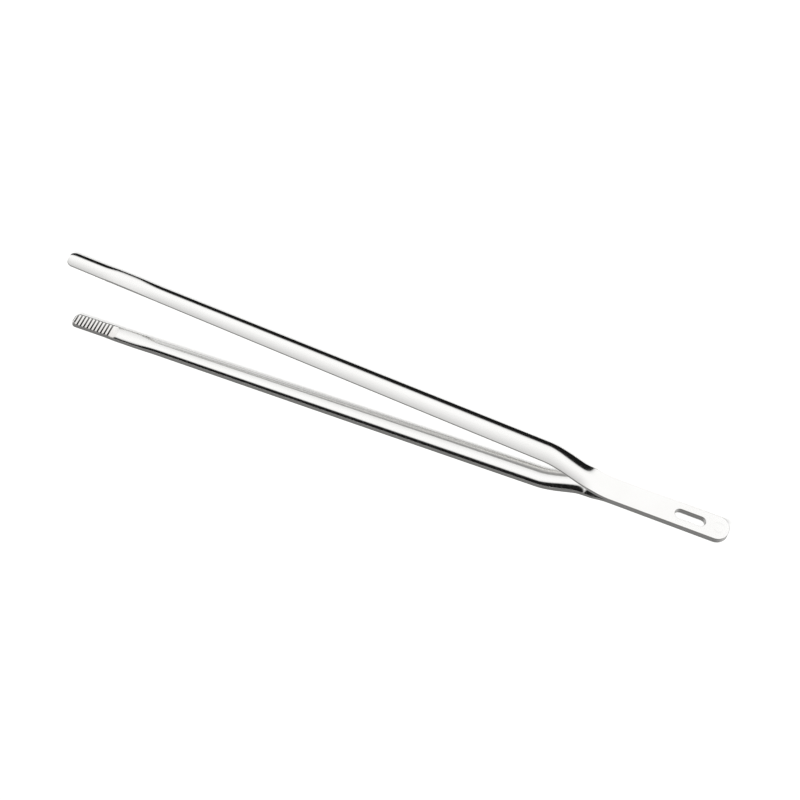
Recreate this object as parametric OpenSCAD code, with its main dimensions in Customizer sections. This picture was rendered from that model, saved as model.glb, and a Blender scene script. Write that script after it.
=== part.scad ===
// Spring tongs pressed from two strips of sheet steel.
// +X runs from the hanging end to the jaws, +Y across the opening, +Z across the strips.
// The tongs lie on their side: the strips stand on edge and the tail's lower edge is at Z = 0.

/* [Whole tool] */
// Length from the hanging end to the jaw ends
overall_l = 300; // [260:1:340]
// Thickness of the sheet
sheet_t = 1.5; // [1.2:0.1:1.8]
// Distance from the middle plane to the back of each arm at the jaw end
tip_half_gap = 23.2; // [20:0.1:28]

/* [Tail] */
// Width of the flat tail strips
tail_w = 11.4; // [9:0.1:14]
// Length over which the two tail strips lie face to face
tail_flat_l = 50.5; // [46:0.5:52]
// Radius of the two rounded corners at the hanging end
tail_corner_r = 5.2; // [2:0.1:5.4]
// Distance from the hanging end to the middle of the hanging slot
slot_x = 16.9; // [12:0.1:24]
// End-to-end length of the hanging slot
slot_l = 13.4; // [8:0.1:16]
// Width of the hanging slot
slot_w = 4.6; // [4.4:0.1:6]
// Distances of the spot welds from the hanging end
weld_x = [4.4, 29]; // [3:0.1:40]
// Radius of a spot weld nugget
weld_r = 1.6; // [1:0.1:2]
// Thickness of a spot weld nugget, half of it in each strip
weld_t = 1.0; // [0.6:0.1:1.4]

/* [Flare and arm] */
// Distance from the hanging end to the middle of the flexing bend
hinge_x = 55; // [54:0.5:57]
// Distance from the hanging end to where the flare has become the straight arm
bend_end_x = 82; // [77:0.5:90]
// Distance from the hanging end to where the flat strip starts to curl
curl_start_x = 57; // [57:0.5:60]
// Distance from the hanging end to where the strip has its full curl
curl_end_x = 65.5; // [62:0.5:80]
// Slope of each straight arm away from the middle plane, in degrees
arm_slope = 3.1; // [2.4:0.05:3.4]
// Width of an arm at the end of the flare
arm_root_w = 10.6; // [9:0.1:12]
// Width of an arm just behind its rounded end
arm_tip_w = 7.4; // [6:0.1:9]
// Half of the angle that the arm's round section spans at the flare
root_curl = 28; // [24:1:45]
// Half of the angle that the arm's round section spans at the jaw
tip_curl = 30; // [26:1:45]
// Length over which the end of each arm is rounded off
tip_round_l = 2.4; // [1.5:0.1:3.5]

/* [Jaw pads] */
// Length of the solid toothed pad in each arm's end
pad_l = 18.4; // [14:0.1:22]
// Number of grooves across a pad
groove_n = 11; // [7:1:13]
// Distance from one groove to the next
groove_pitch = 1.65; // [1.4:0.05:2]
// Depth of a groove
groove_depth = 0.45; // [0.3:0.05:0.6]

/* [Fits] */
// Radial clearance between a bend's rounded end and its seat
seat_gap = 0.05; // [0.03:0.01:0.1]
// Clearance round a weld nugget and under a jaw pad
fill_gap = 0.01; // [0.01:0.01:0.03]

/* [Hidden] */

steel = [0.80, 0.80, 0.79];
mid_z = tail_w / 2;
flat_curl = 1.5;                 // half angle that stands for a flat strip
arc_n = 8;                       // facets across a section
flare_n = 22;                    // sections along the flare
straight_n = 12;                 // sections along the straight arm
round_n = 6;                     // sections along the rounded end
pad_n = 6;                       // sections along a pad
knuckle_n = 5;                   // sections round an arm's rear end
far = 100;

function smooth(u) = u <= 0 ? 0 : u >= 1 ? 1 : u * u * (3 - 2 * u);
function mix(a, b, u) = a + (b - a) * u;

// Distances below are taken from the hanging end.
function straight_y(s) = tip_half_gap - (overall_l - s) * tan(arm_slope);
function back_y(s) =
    mix(sheet_t, straight_y(s), smooth((s - tail_flat_l) / (bend_end_x - tail_flat_l)));
function slope_at(s) = atan((back_y(s + 0.05) - back_y(s - 0.05)) / 0.1);
function along(s) = min(max((s - curl_end_x) / (overall_l - curl_end_x), 0), 1);
function curling(s) = smooth((s - curl_start_x) / (curl_end_x - curl_start_x));
function curl_at(s) = mix(flat_curl, mix(root_curl, tip_curl, along(s)), curling(s));
function end_factor(s) =
    let (u = max(s - (overall_l - tip_round_l), 0) / tip_round_l)
    0.45 + 0.55 * sqrt(1 - u * u);
function width_at(s) =
    mix(tail_w, mix(arm_root_w, arm_tip_w, pow(along(s), 1.25)), curling(s)) * end_factor(s);
function outer_r(s) = width_at(s) / (2 * sin(curl_at(s)));

// A point of the section at s: r is its radius, a its angle from the back's middle line.
function section_point(s, r, a) =
    let (depth = outer_r(s) - r * cos(a), tilt = slope_at(s))
    [s - overall_l / 2 + depth * sin(tilt), -(back_y(s) - depth * cos(tilt)), mid_z + r * sin(a)];

// Closed ring of the bent strip, outer face first and then the inner face back again.
function strip_ring(s) =
    let (c = curl_at(s), r = outer_r(s))
    concat([for (i = [0 : arc_n]) section_point(s, r, mix(-c, c, i / arc_n))],
           [for (i = [0 : arc_n]) section_point(s, r - sheet_t, mix(c, -c, i / arc_n))]);

// Closed ring of the arm's rounded rear end, at angle a of its half-round edge.
function knuckle_ring(a) =
    let (s = hinge_x, c = flat_curl, tilt = slope_at(s), half = sheet_t / 2,
         centre_r = outer_r(s) - half, t = half * cos(a),
         shift = -half * sin(a) * [cos(tilt), -sin(tilt), 0])
    concat([for (i = [0 : arc_n]) section_point(s, centre_r + t, mix(-c, c, i / arc_n)) + shift],
           [for (i = [0 : arc_n]) section_point(s, centre_r - t, mix(c, -c, i / arc_n)) + shift]);

// Closed ring of the pad that fills the section's hollow up to the strip's edges.
function pad_ring(s) =
    let (c = curl_at(s), r = outer_r(s) - sheet_t - fill_gap)
    [for (i = [0 : arc_n]) section_point(s, r, mix(-c, c, i / arc_n))];

module loft(rings) {
    n = len(rings[0]);
    last = len(rings) - 1;
    sides = [for (k = [0 : last - 1], i = [0 : n - 1])
        let (j = (i + 1) % n)
        each [[k * n + i, k * n + j, (k + 1) * n + j],
              [k * n + i, (k + 1) * n + j, (k + 1) * n + i]]];
    start_cap = [[for (i = [n - 1 : -1 : 0]) i]];
    end_cap = [[for (i = [0 : n - 1]) last * n + i]];
    polyhedron(points = [for (r = rings) each r],
               faces = concat(start_cap, sides, end_cap));
}

function arm_stations() = concat(
    [for (i = [0 : flare_n]) mix(hinge_x, bend_end_x, i / flare_n)],
    [for (i = [1 : straight_n]) mix(bend_end_x, overall_l - tip_round_l, i / straight_n)],
    [for (i = [1 : round_n]) overall_l - tip_round_l * (1 - sin(90 * i / round_n))]);

hinge_y = -(back_y(hinge_x) - sheet_t / 2 * cos(slope_at(hinge_x)));
hinge_at = [hinge_x - overall_l / 2 + sheet_t / 2 * sin(slope_at(hinge_x)), hinge_y];
pad_start = overall_l - pad_l;

module plan_slot() {
    run = (slot_l - slot_w) / 2;
    translate([slot_x - overall_l / 2, mid_z]) {
        square([2 * run, slot_w], center = true);
        for (side = [-1, 1]) translate([side * run, 0]) circle(d = slot_w, $fn = 48);
    }
}

module plan_tail() {
    x0 = -overall_l / 2;
    length = hinge_at[0] - x0;
    translate([x0, tail_corner_r]) square([length, tail_w - 2 * tail_corner_r]);
    translate([x0 + tail_corner_r, 0]) square([length - tail_corner_r, tail_w]);
    for (z = [tail_corner_r, tail_w - tail_corner_r])
        translate([x0 + tail_corner_r, z]) circle(r = tail_corner_r, $fn = 64);
}

// Side outline of one leaf: flat, then bent outwards up to the middle of the flexing bend.
module leaf_outline() {
    stations = [for (i = [0 : 4]) mix(tail_flat_l, hinge_x, i / 4)];
    polygon(concat(
        [[-overall_l / 2, 0], [-overall_l / 2, -sheet_t]],
        [for (s = stations) [s - overall_l / 2, -back_y(s)]],
        [for (i = [4 : -1 : 0])
            let (s = stations[i], tilt = slope_at(s))
            [s - overall_l / 2 + sheet_t * sin(tilt), -(back_y(s) - sheet_t * cos(tilt))]]));
}

module upright(depth) {
    translate([0, depth / 2, 0]) rotate([90, 0, 0]) linear_extrude(depth) children();
}

module nuggets(r, t) {
    for (s = weld_x)
        translate([s - overall_l / 2, t / 2, mid_z]) rotate([90, 0, 0]) cylinder(r = r, h = t, $fn = 48);
}

module tail_leaf() {
    difference() {
        intersection() {
            linear_extrude(tail_w) leaf_outline();
            upright(far) plan_tail();
        }
        upright(far) plan_slot();
        nuggets(weld_r + fill_gap, weld_t + 2 * fill_gap);
        translate([hinge_at[0], hinge_at[1], -1])
            cylinder(r = sheet_t / 2 + seat_gap, h = tail_w + 2, $fn = 48);
    }
}

module arm() {
    loft(concat([for (i = [knuckle_n : -1 : 1]) knuckle_ring(80 * i / knuckle_n)],
                [for (s = arm_stations()) strip_ring(s)]));
}

// The grooves run across the pad's flat face, which lies along the straight arm's slope.
module grooves() {
    for (i = [0 : groove_n - 1]) {
        s = overall_l - 1.3 - i * groove_pitch;
        face = section_point(s, outer_r(s) - sheet_t - fill_gap, curl_at(s));
        translate([face[0], face[1], mid_z]) rotate([0, 0, arm_slope + 45])
            cube([groove_depth * sqrt(2), groove_depth * sqrt(2), 2 * tail_w], center = true);
    }
}

module jaw_pad() {
    end = overall_l - 0.4;
    difference() {
        loft([for (i = [0 : pad_n]) pad_ring(mix(pad_start, end, sin(90 * i / pad_n)))]);
        grooves();
    }
}

module mirrored() {
    mirror([0, 1, 0]) children();
}

module right_tail_leaf() {
    color(steel) tail_leaf();
}

module left_tail_leaf() {
    color(steel) mirrored() tail_leaf();
}

module weld_nuggets() {
    color("dimgray") nuggets(weld_r, weld_t);
}

module right_arm() {
    color(steel) arm();
}

module left_arm() {
    color(steel) mirrored() arm();
}

module right_jaw_pad() {
    color("silver") jaw_pad();
}

module left_jaw_pad() {
    color("silver") mirrored() jaw_pad();
}

right_tail_leaf();
left_tail_leaf();
weld_nuggets();
right_arm();
left_arm();
right_jaw_pad();
left_jaw_pad();
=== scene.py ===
"""Long tweezer tongs of stainless sheet, lying on their side on a pale studio floor."""
import logging
from dataclasses import dataclass
from enum import Enum
from math import atan, atan2, cos, pi, radians, sin, sqrt, tan

import bmesh
import bpy
from mathutils import Euler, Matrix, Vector
from mathutils.geometry import delaunay_2d_cdt


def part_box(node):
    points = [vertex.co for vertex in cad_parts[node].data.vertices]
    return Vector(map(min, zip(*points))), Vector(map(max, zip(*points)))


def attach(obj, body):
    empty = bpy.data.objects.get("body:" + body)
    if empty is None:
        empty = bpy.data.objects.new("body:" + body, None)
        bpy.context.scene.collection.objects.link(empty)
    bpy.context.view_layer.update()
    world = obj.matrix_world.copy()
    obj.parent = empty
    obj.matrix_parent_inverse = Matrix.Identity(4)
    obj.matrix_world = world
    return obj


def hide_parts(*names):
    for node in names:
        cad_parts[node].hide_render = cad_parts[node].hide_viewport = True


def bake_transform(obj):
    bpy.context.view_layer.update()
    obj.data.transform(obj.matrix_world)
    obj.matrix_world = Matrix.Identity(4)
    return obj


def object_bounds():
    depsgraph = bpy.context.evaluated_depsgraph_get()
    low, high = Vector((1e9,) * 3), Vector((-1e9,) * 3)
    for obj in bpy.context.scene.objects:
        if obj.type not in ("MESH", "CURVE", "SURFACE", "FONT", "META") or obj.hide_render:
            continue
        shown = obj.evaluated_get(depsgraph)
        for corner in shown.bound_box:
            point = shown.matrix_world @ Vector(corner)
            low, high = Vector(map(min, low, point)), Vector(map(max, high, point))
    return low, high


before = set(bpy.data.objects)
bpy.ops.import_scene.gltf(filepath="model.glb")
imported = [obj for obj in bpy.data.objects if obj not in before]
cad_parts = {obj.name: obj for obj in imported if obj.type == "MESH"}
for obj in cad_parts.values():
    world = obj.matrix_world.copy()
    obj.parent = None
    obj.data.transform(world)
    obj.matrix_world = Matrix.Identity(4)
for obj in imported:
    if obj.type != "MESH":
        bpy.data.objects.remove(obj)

log = logging.getLogger("tongs")

MM = 0.001
NOISE_LOW, NOISE_HIGH = 0.3, 0.7      # nearly all values of a noise texture lie between these
CAD_BOX = [list(corner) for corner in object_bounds()]

Point = tuple[float, float, float]
Ring = list[Point]


# --------------------------------------------------------------------------- helpers

def linear(hex_colour: str) -> tuple[float, float, float, float]:
    """Turn an sRGB hex colour into linear RGBA.

    Args:
        hex_colour: six hex digits, such as "C8C6C2".

    Returns:
        The linear colour with alpha 1.
    """
    def channel(text: str) -> float:
        """Return one linear channel."""
        value = int(text, 16) / 255
        return value / 12.92 if value <= 0.04045 else ((value + 0.055) / 1.055) ** 2.4
    return tuple(channel(hex_colour[i:i + 2]) for i in (0, 2, 4)) + (1.0,)


def add_node(tree: bpy.types.NodeTree, kind: str, inputs: dict | None = None,
             **settings: object) -> bpy.types.Node:
    """Add one shader node with its settings, its socket values and its links.

    Args:
        tree: the node tree to add to.
        kind: the node's Blender type name.
        inputs: socket name or index to a value, or to an output socket to link.
        **settings: attributes of the node.

    Returns:
        The new node.
    """
    node = tree.nodes.new(kind)
    for name, value in settings.items():
        setattr(node, name, value)
    for name, value in (inputs or {}).items():
        socket = node.inputs[name]
        if isinstance(value, bpy.types.NodeSocket):
            tree.links.new(value, socket)
        else:
            socket.default_value = value
    return node


def new_material(name: str) -> bpy.types.Material:
    """Return a new material with an empty node tree."""
    made = bpy.data.materials.new(name)
    made.use_nodes = True
    made.node_tree.nodes.clear()
    return made


def mix(a: float, b: float, u: float) -> float:
    """Return the value a share u of the way from a to b."""
    return a + (b - a) * u


def smooth(u: float) -> float:
    """Return the smooth step of u between 0 and 1."""
    u = min(max(u, 0.0), 1.0)
    return u * u * (3 - 2 * u)


def spread(low: float, high: float, step: float) -> list[float]:
    """Return evenly spaced values from low to high, about step apart, both ends in."""
    count = max(1, round((high - low) / step))
    return [mix(low, high, i / count) for i in range(count + 1)]


# --------------------------------------------------------------------------- finishes

@dataclass(frozen=True)
class BrushedStainless:
    """Polished stainless sheet with a fine belt-brushed grain across the strip.

    The grain scatters light a little along the strip, so reflections stay clear
    across the strip's curve and are drawn out along its length.
    """
    name: str = "stainless_sheet_belt_brushed"
    colour: str = "F7F7F6"
    worn_colour: str = "F1F0EE"
    roughness: float = 0.10
    roughness_drop: float = 0.03
    roughness_rise: float = 0.06
    cloud_mm: float = 14.0
    grain_turn_deg: float = 12.0
    grain_mm: tuple[float, float, float] = (0.22, 5.0, 5.0)   # drawn coarser than the real grit
    cross_mm: tuple[float, float, float] = (2.6, 0.35, 0.35)  # a second, fainter brushing
    grain_depth_mm: float = 0.0016
    grain_strength: float = 0.5

    def material(self) -> bpy.types.Material:
        """Return the node material."""
        made = new_material(self.name)
        tree = made.node_tree
        place = add_node(tree, "ShaderNodeTexCoord").outputs["Object"]
        grains = []
        for size in (self.grain_mm, self.cross_mm):
            scaled = add_node(tree, "ShaderNodeMapping", {
                "Vector": place, "Scale": tuple(1 / (s * MM) for s in size),
                "Rotation": (0.0, radians(self.grain_turn_deg), 0.0)})
            grains.append(add_node(tree, "ShaderNodeTexNoise", {
                "Vector": scaled.outputs["Vector"], "Scale": 1.0, "Detail": 3.0,
                "Roughness": 0.6}))
        cloud = add_node(tree, "ShaderNodeTexNoise", {
            "Vector": place, "Scale": 1 / (self.cloud_mm * MM), "Detail": 3.0})
        both = add_node(tree, "ShaderNodeMath", {
            0: grains[0].outputs["Fac"], 1: grains[1].outputs["Fac"]}, operation="ADD")
        rough = add_node(tree, "ShaderNodeMapRange", {
            "Value": both.outputs[0], "From Min": 2 * NOISE_LOW, "From Max": 2 * NOISE_HIGH,
            "To Min": self.roughness - self.roughness_drop,
            "To Max": self.roughness + self.roughness_rise})
        tone = add_node(tree, "ShaderNodeMix", {
            "Factor": cloud.outputs["Fac"], 6: linear(self.colour), 7: linear(self.worn_colour)},
            data_type="RGBA")
        bump = add_node(tree, "ShaderNodeBump", {
            "Height": both.outputs[0], "Distance": self.grain_depth_mm * MM,
            "Strength": self.grain_strength})
        shader = add_node(tree, "ShaderNodeBsdfPrincipled", {
            "Base Color": tone.outputs[2], "Metallic": 1.0, "Roughness": rough.outputs[0],
            "Normal": bump.outputs["Normal"]})
        add_node(tree, "ShaderNodeOutputMaterial", {"Surface": shader.outputs["BSDF"]})
        return made


@dataclass(frozen=True)
class ShearedEdge:
    """The sheet's own cut edge, sheared and then deburred.

    It is duller and darker than the brushed faces, with short drag marks through the
    thickness.
    """
    name: str = "stainless_sheet_sheared_edge"
    colour: str = "C4C3C1"
    dark_colour: str = "B0AFAD"
    roughness: float = 0.34
    roughness_spread: float = 0.08
    drag_mm: tuple[float, float, float] = (0.5, 3.0, 3.0)     # drawn coarser than the real marks
    depth_mm: float = 0.006
    drag_strength: float = 0.6

    def material(self) -> bpy.types.Material:
        """Return the node material."""
        made = new_material(self.name)
        tree = made.node_tree
        place = add_node(tree, "ShaderNodeTexCoord").outputs["Object"]
        scaled = add_node(tree, "ShaderNodeMapping", {
            "Vector": place, "Scale": tuple(1 / (s * MM) for s in self.drag_mm)})
        drag = add_node(tree, "ShaderNodeTexNoise", {
            "Vector": scaled.outputs["Vector"], "Scale": 1.0, "Detail": 4.0})
        tone = add_node(tree, "ShaderNodeMix", {
            "Factor": drag.outputs["Fac"], 6: linear(self.colour), 7: linear(self.dark_colour)},
            data_type="RGBA")
        rough = add_node(tree, "ShaderNodeMapRange", {
            "Value": drag.outputs["Fac"], "From Min": NOISE_LOW, "From Max": NOISE_HIGH,
            "To Min": self.roughness - self.roughness_spread,
            "To Max": self.roughness + self.roughness_spread})
        bump = add_node(tree, "ShaderNodeBump", {
            "Height": drag.outputs["Fac"], "Distance": self.depth_mm * MM,
            "Strength": self.drag_strength})
        shader = add_node(tree, "ShaderNodeBsdfPrincipled", {
            "Base Color": tone.outputs[2], "Metallic": 1.0, "Roughness": rough.outputs[0],
            "Normal": bump.outputs["Normal"]})
        add_node(tree, "ShaderNodeOutputMaterial", {"Surface": shader.outputs["BSDF"]})
        return made


@dataclass(frozen=True)
class CutTeeth:
    """Stainless steel as a cutter leaves it, with fine tool marks along the cut.

    It is bright at the lower edge and darkens towards the upper edge: painted shade, over a
    random tone from the tool marks. Both places are heights from the tail's lower edge.
    """
    name: str = "stainless_block_milled_painted_shade"
    colour: str = "F4F3F1"
    dark_colour: str = "E2E0DD"
    roughness: float = 0.16
    roughness_drop: float = 0.06
    roughness_rise: float = 0.08
    mark_mm: tuple[float, float, float] = (0.12, 4.0, 2.5)    # drawn coarser than real tool marks
    depth_mm: float = 0.003
    mark_strength: float = 0.5
    # Painted shade: the colour is lightest at the first height and darkest at the second.
    painted_shade_from_mm: float = 2.6
    painted_shade_full_at_mm: float = 8.4
    mark_share: float = 0.4

    def material(self) -> bpy.types.Material:
        """Return the node material."""
        made = new_material(self.name)
        tree = made.node_tree
        place = add_node(tree, "ShaderNodeTexCoord").outputs["Object"]
        scaled = add_node(tree, "ShaderNodeMapping", {
            "Vector": place, "Scale": tuple(1 / (s * MM) for s in self.mark_mm)})
        marks = add_node(tree, "ShaderNodeTexNoise", {
            "Vector": scaled.outputs["Vector"], "Scale": 1.0, "Detail": 3.0})
        # Painted shade: the colour darkens with height towards the upper edge.
        height = add_node(tree, "ShaderNodeSeparateXYZ", {0: place}).outputs["Z"]
        top_ramp = add_node(tree, "ShaderNodeMapRange", {
            "Value": height, "From Min": self.painted_shade_from_mm * MM, "From Max": self.painted_shade_full_at_mm * MM,
            "To Min": -self.mark_share / 2, "To Max": 1 - self.mark_share / 2})
        share = add_node(tree, "ShaderNodeMath", {
            0: marks.outputs["Fac"], 1: self.mark_share, 2: top_ramp.outputs[0]},
            operation="MULTIPLY_ADD")
        tone = add_node(tree, "ShaderNodeMix", {
            "Factor": share.outputs[0], 6: linear(self.colour), 7: linear(self.dark_colour)},
            data_type="RGBA")
        rough = add_node(tree, "ShaderNodeMapRange", {
            "Value": marks.outputs["Fac"], "From Min": NOISE_LOW, "From Max": NOISE_HIGH,
            "To Min": self.roughness - self.roughness_drop,
            "To Max": self.roughness + self.roughness_rise})
        bump = add_node(tree, "ShaderNodeBump", {
            "Height": marks.outputs["Fac"], "Distance": self.depth_mm * MM,
            "Strength": self.mark_strength})
        shader = add_node(tree, "ShaderNodeBsdfPrincipled", {
            "Base Color": tone.outputs[2], "Metallic": 1.0, "Roughness": rough.outputs[0],
            "Normal": bump.outputs["Normal"]})
        add_node(tree, "ShaderNodeOutputMaterial", {"Surface": shader.outputs["BSDF"]})
        return made


# The cutter leaves the groove walls dull; their dark colour is painted shade, darkest towards the
# top.
GROOVE_WALL = CutTeeth(name="stainless_groove_dull_painted_shade", colour="A09F9D", dark_colour="252423",
                       roughness=0.42)


@dataclass(frozen=True)
class MattPaper:
    """The studio's floor: matt white card with a very faint fibre mottle.

    It is lit from below as well, so it stays white in the tool's shade.
    """
    name: str = "matt_white_card"
    colour: str = "F4F4F3"
    shade_colour: str = "F0F0EF"
    mottle_mm: float = 30.0
    roughness: float = 0.9
    specular: float = 0.1
    glow: float = 0.6

    def material(self) -> bpy.types.Material:
        """Return the node material."""
        made = new_material(self.name)
        tree = made.node_tree
        place = add_node(tree, "ShaderNodeTexCoord").outputs["Object"]
        mottle = add_node(tree, "ShaderNodeTexNoise", {
            "Vector": place, "Scale": 1 / (self.mottle_mm * MM), "Detail": 4.0})
        tone = add_node(tree, "ShaderNodeMix", {
            "Factor": mottle.outputs["Fac"], 6: linear(self.colour), 7: linear(self.shade_colour)},
            data_type="RGBA")
        shader = add_node(tree, "ShaderNodeBsdfPrincipled", {
            "Base Color": tone.outputs[2], "Roughness": self.roughness,
            "Specular IOR Level": self.specular,
            "Emission Color": tone.outputs[2], "Emission Strength": self.glow})
        add_node(tree, "ShaderNodeOutputMaterial", {"Surface": shader.outputs["BSDF"]})
        return made


# --------------------------------------------------------------------------- blades

class Side(Enum):
    """Which blade: the value is the sign of its Y."""
    RIGHT = -1
    LEFT = 1


@dataclass
class StripShape:
    """The form that both blades are pressed to; distances in mm from the hanging end."""
    length: float
    tail_width: float
    half_gap: float
    sheet: float = 1.5
    flat_length: float = 50.5
    corner: float = 5.2
    bend_end: float = 82.0
    curl_start: float = 57.0
    curl_end: float = 65.5
    slope_deg: float = 3.1
    root_width: float = 10.6
    tip_width: float = 7.4
    root_curl_deg: float = 28.0
    tip_curl_deg: float = 30.0
    flat_curl_deg: float = 0.02       # stands for flat
    end_round: float = 2.4
    end_share: float = 0.45           # share of the width that is left at the very end
    taper_power: float = 1.25
    shallow_deg: float = 11.0         # how much flatter the gutter is just behind the jaw
    shallow_span: tuple[float, float, float, float] = (258.0, 270.0, 279.5, 283.0)

    def straight(self, s: float) -> float:
        """Return how far the straight arm's back is from the middle plane."""
        return self.half_gap - (self.length - s) * tan(radians(self.slope_deg))

    def back(self, s: float) -> float:
        """Return how far the strip's outer face is from the middle plane."""
        share = smooth((s - self.flat_length) / (self.bend_end - self.flat_length))
        return mix(self.sheet, self.straight(s), share)

    def tilt(self, s: float) -> float:
        """Return the strip's slope away from the middle plane, in radians."""
        step = 0.05
        return atan((self.back(s + step) - self.back(s - step)) / (2 * step))

    def along(self, s: float) -> float:
        """Return how far along the fully curled arm s is, from 0 to 1."""
        return min(max((s - self.curl_end) / (self.length - self.curl_end), 0.0), 1.0)

    def curling(self, s: float) -> float:
        """Return how far the flat strip has turned into the gutter, from 0 to 1."""
        return smooth((s - self.curl_start) / (self.curl_end - self.curl_start))

    def curl(self, s: float) -> float:
        """Return the half angle that the section spans, in radians."""
        full = mix(self.root_curl_deg, self.tip_curl_deg, self.along(s))
        fall, low, low_end, rise = self.shallow_span
        shallow = smooth((s - fall) / (low - fall)) * (1 - smooth((s - low_end) / (rise - low_end)))
        return radians(mix(self.flat_curl_deg, full - self.shallow_deg * shallow, self.curling(s)))

    def width(self, s: float) -> float:
        """Return the section's width from edge to edge."""
        full = mix(self.root_width, self.tip_width, self.along(s) ** self.taper_power)
        beyond = max(s - (self.length - self.end_round), 0.0) / self.end_round
        rounding = mix(self.end_share, 1.0, sqrt(max(0.0, 1 - beyond * beyond)))
        return mix(self.tail_width, full, self.curling(s)) * rounding

    def radius(self, s: float) -> float:
        """Return the radius of the strip's outer face across the strip."""
        return self.width(s) / (2 * sin(self.curl(s)))

    def point(self, s: float, r: float, a: float) -> Point:
        """Return the place of one point of the section, with Y as distance outwards.

        Args:
            s: distance from the hanging end.
            r: radius from the section's centre of curvature.
            a: angle from the back's middle line, in radians.

        Returns:
            X, distance from the middle plane, and Z, in mm.
        """
        depth = self.radius(s) - r * cos(a)
        lean = self.tilt(s)
        return (s - self.length / 2 + depth * sin(lean), self.back(s) - depth * cos(lean),
                self.tail_width / 2 + r * sin(a))


@dataclass
class Blade:
    """One blade: the flat tail leaf with its slot and weld marks, the flare and the arm.

    Sizes are in mm, and places are distances from the hanging end.
    """
    side: Side
    shape: StripShape
    tail_round: float = 0.14
    arm_round: float = 0.34
    inner_round: float = 0.07
    edge_steps: int = 4
    support: float = 0.1              # keeps the shading flat beside a rounding
    face_steps: int = 30
    join: float = 50.0                # where the flat tail's mesh meets the bent strip's
    flare_step: float = 0.55
    arm_step: float = 2.5
    near_end_step: float = 0.4
    settle: float = 4.0               # fine sections go on this far beside a change of shape
    end_rings: int = 14
    slot_middle: float = 16.9
    slot_length: float = 13.4
    slot_width: float = 4.6
    weld_places: tuple[tuple[float, float], ...] = ((4.4, 0.06), (29.0, 0.03))
    weld_ring: float = 2.35           # radius of the ring that the electrode leaves
    weld_ring_width: float = 0.3
    weld_dome: float = 0.35           # the dent inside the ring, as a share of the ring's
    weld_circles: tuple[float, ...] = (0.0, 0.7, 1.4, 2.05, 2.2, 2.35, 2.5, 2.65, 3.1)
    weld_points: int = 40
    weld_clear: float = 3.5
    slot_clear: float = 0.9
    rim_step: float = 1.2
    grid_start: float = 2.0
    grid_margin: float = 0.8
    grid_step: float = 1.0
    leaf_gap: float = 0.01            # half of the gap between the two tails
    end_wall_from: float = 1.7        # the gutter starts to close this far from the end
    end_wall: float = 1.1             # and is closed after this length

    def outer_round(self, s: float) -> float:
        """Return the outer corner's rounding, which the pressing widens on the arm."""
        return mix(self.tail_round, self.arm_round, self.shape.curling(s))

    def edge_profile(self, s: float) -> list[tuple[float, float]]:
        """Return the cut edge as (distance in from the edge, depth below the outer face)."""
        n = self.edge_steps
        turns = [pi / 2 * i / n for i in range(n + 1)]
        r = self.outer_round(s)
        outer = [(r * (1 - sin(a)), r * (1 - cos(a))) for a in turns]
        inner = [(self.inner_round * (1 - sin(a)),
                  self.shape.sheet - self.inner_round * (1 - cos(a))) for a in reversed(turns)]
        return outer + inner

    def across(self, half: float, corner: float) -> list[float]:
        """Return the places across a face, from its middle, between its rounded corners."""
        reach = half - corner - self.support
        return [reach * (2 * i / self.face_steps - 1) for i in range(self.face_steps + 1)]

    def end_closing(self, s: float) -> float:
        """Return how far the gutter is filled up at the rounded end, from 0 to 1."""
        return smooth((s - (self.shape.length - self.end_wall_from)) / self.end_wall)

    def ring(self, s: float) -> Ring:
        """Return the closed section at s: outer face, one edge, inner face, other edge."""
        shape = self.shape
        r_out, c = shape.radius(s), shape.curl(s)
        r_in = r_out - shape.sheet
        edge = self.edge_profile(s)
        chord = r_in * cos(c)
        fill = self.end_closing(s)

        def at(e: float, depth: float, sign: int) -> Point:
            """Return a point e in from the edge, measured along the face."""
            r = r_out - depth
            return shape.point(s, r, sign * (c - e / r))

        def inner(a: float) -> Point:
            """Return a point of the inner face, raised to the chord where the end closes."""
            return shape.point(s, mix(r_in, chord / cos(a), fill), a)

        outer = [shape.point(s, r_out, z / r_out)
                 for z in self.across(r_out * c, self.outer_round(s))]
        inner_face = [inner(z / r_in) for z in reversed(self.across(r_in * c, self.inner_round))]
        up = [at(e, d, 1) for e, d in edge]
        down = [at(e, d, -1) for e, d in reversed(edge)]
        return outer + up + inner_face + down

    def stations(self) -> list[float]:
        """Return where the sections stand from the join to the rounded end."""
        shape = self.shape
        flare_to = shape.bend_end + self.settle
        round_from = shape.length - shape.end_round
        arm_to = round_from - self.settle
        flare = spread(self.join, flare_to, self.flare_step)
        arm = spread(flare_to, arm_to, self.arm_step)[1:]
        near_end = spread(arm_to, round_from, self.near_end_step)[1:]
        end = [round_from + shape.end_round * sin(pi / 2 * i / self.end_rings)
               for i in range(1, self.end_rings + 1)]
        return flare + arm + near_end + end

    def is_edge(self, index: int) -> bool:
        """Say whether the ring's face that starts at index lies on a cut edge."""
        n_face, n_edge = self.face_steps + 1, 2 * (self.edge_steps + 1)
        return index % (n_face + n_edge) >= n_face

    def outline(self, inset: float) -> list[tuple[float, float]]:
        """Return the tail's plan outline, inset, from one end of the join round to the other."""
        shape = self.shape
        half, r = shape.tail_width / 2, shape.corner
        turn, end_step = 14, 0.5
        points = [(s, -(half - inset)) for s in reversed(spread(r, self.join, self.rim_step))]
        for sign, start in ((-1, 0.0), (1, pi / 2)):
            for i in range(1, turn + 1):
                a = start + pi / 2 * i / turn
                centre = sign * (half - r)
                points.append((r - (r - inset) * sin(a), centre - (r - inset) * cos(a)))
            if sign < 0:
                points += [(inset, z) for z in spread(-(half - r), half - r, end_step)[1:]]
        points += [(s, half - inset) for s in spread(r, self.join, self.rim_step)[1:]]
        return points

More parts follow.
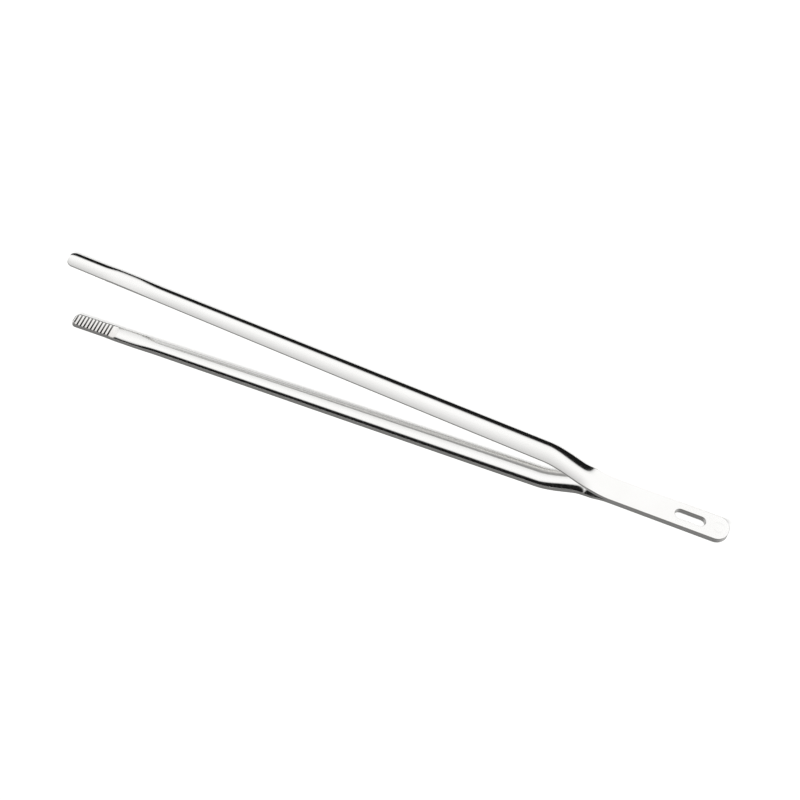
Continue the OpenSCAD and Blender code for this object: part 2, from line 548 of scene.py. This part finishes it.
    def slot_loop(self, outset: float) -> list[tuple[float, float]]:
        """Return the hanging slot's plan outline, outset, as a closed loop."""
        run, r, turn = (self.slot_length - self.slot_width) / 2, self.slot_width / 2, 18
        points = []
        for sign in (1, -1):
            for i in range(turn + 1):
                a = -pi / 2 + pi * i / turn
                points.append((self.slot_middle + sign * (run + (r + outset) * cos(a)),
                               sign * (r + outset) * sin(a)))
        return points

    def dent(self, s: float, z: float) -> float:
        """Return the depth of the weld marks at one place of the tail's outer face."""
        depth = 0.0
        for place, deep in self.weld_places:
            away = sqrt((s - place) ** 2 + z * z)
            ring = max(0.0, 1 - abs(away - self.weld_ring) / self.weld_ring_width)
            inside = away / (self.weld_ring - self.weld_ring_width)
            depth += deep * (smooth(ring) + self.weld_dome * max(0.0, 1 - inside ** 2))
        return depth

    def plate_faces(self, corner: float) -> tuple[list[tuple[float, float]],
                                                  list[tuple[int, ...]]]:
        """Triangulate one of the tail's flat faces, with its slot and points for the weld marks.

        Args:
            corner: the rounding of the face's edges.

        Returns:
            Plan points (distance from the hanging end, distance from the middle line) and
            triangles that index them.
        """
        border = self.outline(corner)
        inner_border = self.outline(corner + self.support)
        half = self.shape.tail_width / 2
        join_line = [(self.join, z) for z in self.across(half, corner)]
        points = [Vector(p) for p in border]
        edges = [(i, i + 1) for i in range(len(border) - 1)]
        chain = [len(border) - 1]
        for p in reversed(join_line):
            points.append(Vector(p))
            chain.append(len(points) - 1)
        chain.append(0)
        edges += list(zip(chain, chain[1:]))
        for loop in (self.slot_loop(corner), self.slot_loop(corner + self.support)):
            first = len(points)
            points += [Vector(p) for p in loop]
            n = len(loop)
            edges += [(first + i, first + (i + 1) % n) for i in range(n)]
        points += [Vector(p) for p in inner_border[1:-1]]
        for place, _ in self.weld_places:
            for r in self.weld_circles:
                count = 1 if r == 0 else self.weld_points
                points += [Vector((place + r * cos(2 * pi * i / count),
                                   r * sin(2 * pi * i / count))) for i in range(count)]
        r = self.shape.corner
        for s in spread(self.grid_start, self.join - self.grid_margin, self.rim_step):
            for z in spread(-(half - self.rim_step), half - self.rim_step, self.grid_step):
                clear = all(sqrt((s - w) ** 2 + z * z) > self.weld_clear
                            for w, _ in self.weld_places)
                from_centre = sqrt(max(0.0, r - s) ** 2 + max(0.0, abs(z) - (half - r)) ** 2)
                inside = from_centre < r - self.grid_margin
                if clear and inside and not self.in_slot(s, z, self.slot_clear):
                    points.append(Vector((s, z)))
        flat, _, triangles, *_ = delaunay_2d_cdt(points, edges, [], 1, 1e-5)
        kept = []
        for tri in triangles:
            s = sum(flat[i][0] for i in tri) / 3
            z = sum(flat[i][1] for i in tri) / 3
            if not self.in_slot(s, z, corner):
                kept.append(tuple(tri))
        return [(p[0], p[1]) for p in flat], kept

    def in_slot(self, s: float, z: float, margin: float) -> bool:
        """Say whether a plan point lies in the slot or within margin of it."""
        run = (self.slot_length - self.slot_width) / 2
        past = max(0.0, abs(s - self.slot_middle) - run)
        return sqrt(past * past + z * z) < self.slot_width / 2 + margin - 1e-6

    def build(self, face: bpy.types.Material, edge: bpy.types.Material) -> bpy.types.Object:
        """Build the blade as one closed mesh.

        Args:
            face: the material of the strip's faces.
            edge: the material of its cut edges.

        Returns:
            The new object.
        """
        shape, sign = self.shape, self.side.value
        middle = shape.tail_width / 2
        points: list[Point] = []
        faces: list[tuple[int, ...]] = []
        kinds: list[int] = []

        def place(p: Point) -> int:
            """Store a point that is given as (X, outward distance, Z) and return its index."""
            points.append((p[0], sign * max(p[1], self.leaf_gap), p[2]))
            return len(points) - 1

        rings = [[place(p) for p in self.ring(s)] for s in self.stations()]
        n = len(rings[0])
        for low, high in zip(rings, rings[1:]):
            for i in range(n):
                j = (i + 1) % n
                faces.append((low[i], low[j], high[j], high[i]))
                kinds.append(1 if self.is_edge(i) else 0)
        faces.append(tuple(rings[-1]))
        kinds.append(0)

        for inner in (False, True):
            plan, triangles = self.plate_faces(self.inner_round if inner else self.tail_round)
            index = [place((s - shape.length / 2,
                            0.0 if inner else shape.sheet - self.dent(s, z), middle + z))
                     for s, z in plan]
            for tri in triangles:
                faces.append(tuple(index[i] for i in tri))
                kinds.append(0)
        wall = self.edge_profile(self.join)
        for loop_at, closed in ((self.outline, False), (self.slot_loop, True)):
            loops = [[place((s - shape.length / 2, shape.sheet - d, middle + z))
                      for s, z in loop_at(e)] for e, d in wall]
            for low, high in zip(loops, loops[1:]):
                count = len(low) if closed else len(low) - 1
                for i in range(count):
                    j = (i + 1) % len(low)
                    faces.append((low[i], low[j], high[j], high[i]))
                    kinds.append(1)
        name = f"{self.side.name.lower()}_blade_strip"
        made = solid_from(name, points, faces, kinds, [face, edge])
        log.info("%s: %d faces", name, len(made.data.polygons))
        return made


def solid_from(name: str, points: list[Point], faces: list[tuple[int, ...]],
               kinds: list[int], materials: list[bpy.types.Material]) -> bpy.types.Object:
    """Make a smooth closed mesh from points in mm and join what coincides.

    Args:
        name: the object's name.
        points: the mesh's points, in mm.
        faces: the faces, as point indices.
        kinds: each face's material index.
        materials: the materials in order.

    Returns:
        The new object, with its faces turned outwards.
    """
    mesh = bpy.data.meshes.new(name)
    work = bmesh.new()
    verts = [work.verts.new(tuple(c * MM for c in p)) for p in points]
    for indices, kind in zip(faces, kinds):
        made = work.faces.new([verts[i] for i in indices])
        made.material_index = kind
        made.smooth = True
    bmesh.ops.remove_doubles(work, verts=work.verts, dist=0.004 * MM)
    bmesh.ops.recalc_face_normals(work, faces=work.faces)
    open_edges = sum(1 for e in work.edges if len(e.link_faces) != 2)
    log.info("%s: %d open edges", name, open_edges)
    work.to_mesh(mesh)
    work.free()
    for material in materials:
        mesh.materials.append(material)
    thing = bpy.data.objects.new(name, mesh)
    bpy.context.scene.collection.objects.link(thing)
    return thing


@dataclass
class JawPad:
    """The solid toothed filling of one arm's end, with its grooves cut right across.

    Sizes are in mm.
    """
    side: Side
    shape: StripShape
    length: float = 21.6
    groove_count: int = 11
    groove_pitch: float = 1.65
    groove_depth: float = 0.45
    groove_half_width: float = 0.37
    first_groove: float = 1.3         # from the arm's end to the first groove's middle
    top_ramp: float = 0.15              # how the grooves' depth changes across the face, as a share
    proud: float = 0.1                # how far the lands stand above the gutter's inner corners
    step: float = 0.055
    half_steps: int = 14
    end_slope: float = 3.3            # length of the slope down into the gutter
    bury: float = 0.06                # how far the pad's hidden back lies inside the strip
    end_gap: float = 0.75             # from the pad to the arm's end

    def groove(self, s: float, lie: float) -> float:
        """Return the depth of the V-shaped grooves.

        Args:
            s: distance from the hanging end.
            lie: place across the face, from -1 to 1; the cutter ran in a little deeper at 1.

        Returns:
            The depth below the lands, in mm.
        """
        from_first = (self.shape.length - self.first_groove - s) / self.groove_pitch
        if from_first < -0.5 or from_first > self.groove_count - 0.5:
            return 0.0
        away = abs(from_first - round(from_first)) * self.groove_pitch
        deep = self.groove_depth * (1 + self.top_ramp * (lie - 1))
        return deep * max(0.0, 1 - away / self.groove_half_width)

    def ring(self, s: float) -> Ring:
        """Return the pad's closed section at s: hidden round back, then the toothed face."""
        shape = self.shape
        c = shape.curl(s)
        r_in = shape.radius(s) - shape.sheet
        rise = smooth((s - shape.length + self.length) / self.end_slope)
        level = r_in * cos(c) - self.proud
        half = r_in * sin(c)
        n = self.half_steps
        back = [shape.point(s, r_in + self.bury, mix(-c, c, i / n)) for i in range(n + 1)]
        face = []
        for i in range(n + 1):
            z = mix(half, -half, i / n)
            strip = sqrt(max(r_in * r_in - z * z, 0.0))
            top = min(level + self.groove(s, z / half), strip - self.bury / 2)
            depth = mix(strip + self.bury / 2, top, rise)
            face.append(shape.point(s, sqrt(depth * depth + z * z), atan2(z, depth)))
        return back + face

    def build(self, land: bpy.types.Material, valley: bpy.types.Material) -> bpy.types.Object:
        """Build the pad as one closed mesh.

        Args:
            land: the material of the lands and the pad's ends.
            valley: the material of the groove walls.

        Returns:
            The new object.
        """
        sign = self.side.value
        places = spread(self.shape.length - self.length, self.shape.length - self.end_gap, self.step)
        rings = [self.ring(s) for s in places]
        n = len(rings[0])
        points = [(p[0], sign * p[1], p[2]) for r in rings for p in r]
        faces: list[tuple[int, ...]] = []
        kinds: list[int] = []
        for k, (s0, s1) in enumerate(zip(places, places[1:])):
            cut = self.groove((s0 + s1) / 2, 0.0) > 0
            for i in range(n):
                j = (i + 1) % n
                faces.append((k * n + i, k * n + j, (k + 1) * n + j, (k + 1) * n + i))
                # Groove faces take the groove finish, whose dark colour is painted shade.
                kinds.append(1 if cut and i > self.half_steps else 0)
        faces.append(tuple(range(n)))
        faces.append(tuple((len(rings) - 1) * n + i for i in range(n)))
        kinds += [0, 0]
        name = f"{self.side.name.lower()}_toothed_jaw"
        made = solid_from(name, points, faces, kinds, [land, valley])
        log.info("%s: %d faces", name, len(made.data.polygons))
        return made


# --------------------------------------------------------------------------- studio

@dataclass
class Studio:
    """Pale floor, soft light and the camera; lengths are in metres unless the name says mm."""
    camera_mm: Point = (-92.47, -639.05, 430.51)
    camera_turn_deg: Point = (-53.689, 20.491, -173.69)
    lens_mm: float = 81.72
    sensor_mm: float = 36.0
    clip: tuple[float, float] = (0.01, 100.0)
    floor_size: float = 12.0
    floor_below_pad_mm: float = 1.2   # room for the arm's edge, which hangs below its jaw pad
    floor_gap_mm: float = 0.02
    lamp_place: Point = (0.0, -0.5, 2.2)
    lamp_size: float = 3.0
    lamp_watts: float = 20.0
    # The cards as (angle round the tool in degrees, brightness): 0 is in front, 90 overhead.
    cards: tuple[tuple[float, float], ...] = (
        (-180, 1.0), (-160, 0.90), (-138, 0.010), (-62, 0.010), (-57, 0.90), (-48, 1.10),
        (-30, 1.09), (-8, 0.93), (22, 0.66), (60, 0.46), (95, 0.34), (150, 0.34), (180, 1.0))

    def floor(self) -> None:
        """Lay the floor along the line from the tail's lower end to just under the jaws."""
        tail_low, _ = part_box("right_tail_leaf")
        jaw_low, jaw_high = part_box("right_jaw_pad")
        jaw_floor_z = jaw_low.z - self.floor_below_pad_mm * MM
        lean = atan2(jaw_floor_z - tail_low.z, jaw_high.x - tail_low.x)
        gap = self.floor_gap_mm * MM
        size = self.floor_size
        mesh = bpy.data.meshes.new("floor")
        corners = [(-size, -size), (size, -size), (size, size), (-size, size)]
        mesh.from_pydata([(x, y, (x - tail_low.x) * tan(lean) - gap) for x, y in corners],
                         [], [(0, 1, 2, 3)])
        card = bpy.data.objects.new("floor", mesh)
        mesh.materials.append(MattPaper().material())
        bpy.context.scene.collection.objects.link(card)
        card.visible_glossy = False

    def surround(self) -> None:
        """Surround the tool with long soft cards: bright in front and behind, black below."""
        world = bpy.data.worlds.new("studio_cards")
        bpy.context.scene.world = world
        world.use_nodes = True
        tree = world.node_tree
        tree.nodes.clear()
        way = add_node(tree, "ShaderNodeTexCoord").outputs["Generated"]
        parts = add_node(tree, "ShaderNodeSeparateXYZ", {0: way})
        front = add_node(tree, "ShaderNodeMath", {0: parts.outputs["Y"], 1: -1.0},
                         operation="MULTIPLY")
        angle = add_node(tree, "ShaderNodeMath", {0: parts.outputs["Z"], 1: front.outputs[0]},
                         operation="ARCTAN2")
        turn = add_node(tree, "ShaderNodeMapRange", {
            "Value": angle.outputs[0], "From Min": -pi, "From Max": pi,
            "To Min": 0.0, "To Max": 1.0})
        ramp = add_node(tree, "ShaderNodeValToRGB", {"Fac": turn.outputs[0]})
        elements = ramp.color_ramp.elements
        while len(elements) < len(self.cards):
            elements.new(0.5)
        for element, (degree, level) in zip(elements, self.cards):
            element.position = (degree + 180) / 360
            element.color = (level, level, level, 1.0)
        light = add_node(tree, "ShaderNodeBackground", {"Color": ramp.outputs["Color"],
                                                       "Strength": 1.0})
        add_node(tree, "ShaderNodeOutputWorld", {"Surface": light.outputs[0]})

    def lamps(self) -> None:
        """Hang one large soft lamp over the floor; the steel reflects only the cards."""
        data = bpy.data.lights.new("overhead_softbox", "AREA")
        data.shape = "DISK"
        data.size = self.lamp_size
        data.energy = self.lamp_watts
        lamp = bpy.data.objects.new("overhead_softbox", data)
        lamp.location = self.lamp_place
        lamp.rotation_euler = Vector(self.lamp_place).to_track_quat("Z", "Y").to_euler()
        bpy.context.scene.collection.objects.link(lamp)
        lamp.visible_glossy = False

    def camera(self) -> None:
        """Place the camera and make it the scene's."""
        data = bpy.data.cameras.new("camera")
        data.lens = self.lens_mm
        data.sensor_width = self.sensor_mm
        data.clip_start, data.clip_end = self.clip
        eye = bpy.data.objects.new("camera", data)
        eye.location = tuple(c * MM for c in self.camera_mm)
        eye.rotation_euler = Euler(tuple(radians(a) for a in self.camera_turn_deg), "XYZ")
        bpy.context.scene.collection.objects.link(eye)
        bpy.context.scene.camera = eye

    def build(self) -> None:
        """Build the whole studio."""
        self.camera()
        self.surround()
        self.lamps()
        self.floor()
        bpy.context.scene.view_settings.view_transform = "Standard"


def main() -> None:
    """Build both blades, their jaws and the studio."""
    logging.basicConfig(level=logging.INFO)
    Studio().build()
    high = Vector(CAD_BOX[1])
    tail_low, tail_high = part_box("right_tail_leaf")
    shape = StripShape(length=2 * -tail_low.x / MM, tail_width=(tail_high.z - tail_low.z) / MM,
                       half_gap=high.y / MM)
    face, edge, land, valley = (finish.material() for finish in
                                (BrushedStainless(), ShearedEdge(), CutTeeth(), GROOVE_WALL))
    for side in Side:
        word = side.name.lower()
        body = f"{word}_blade"
        strip = Blade(side, shape).build(face, edge)
        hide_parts(f"{word}_tail_leaf", f"{word}_arm")
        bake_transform(strip)
        jaw = JawPad(side, shape).build(land, valley)
        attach(jaw, body)
        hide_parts(f"{word}_jaw_pad")
    # The nuggets are fused steel inside the tails and keep their own simple shape.
    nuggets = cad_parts["weld_nuggets"]
    nuggets.data.materials.clear()
    nuggets.data.materials.append(edge)


if __name__ == "__main__":
    main()
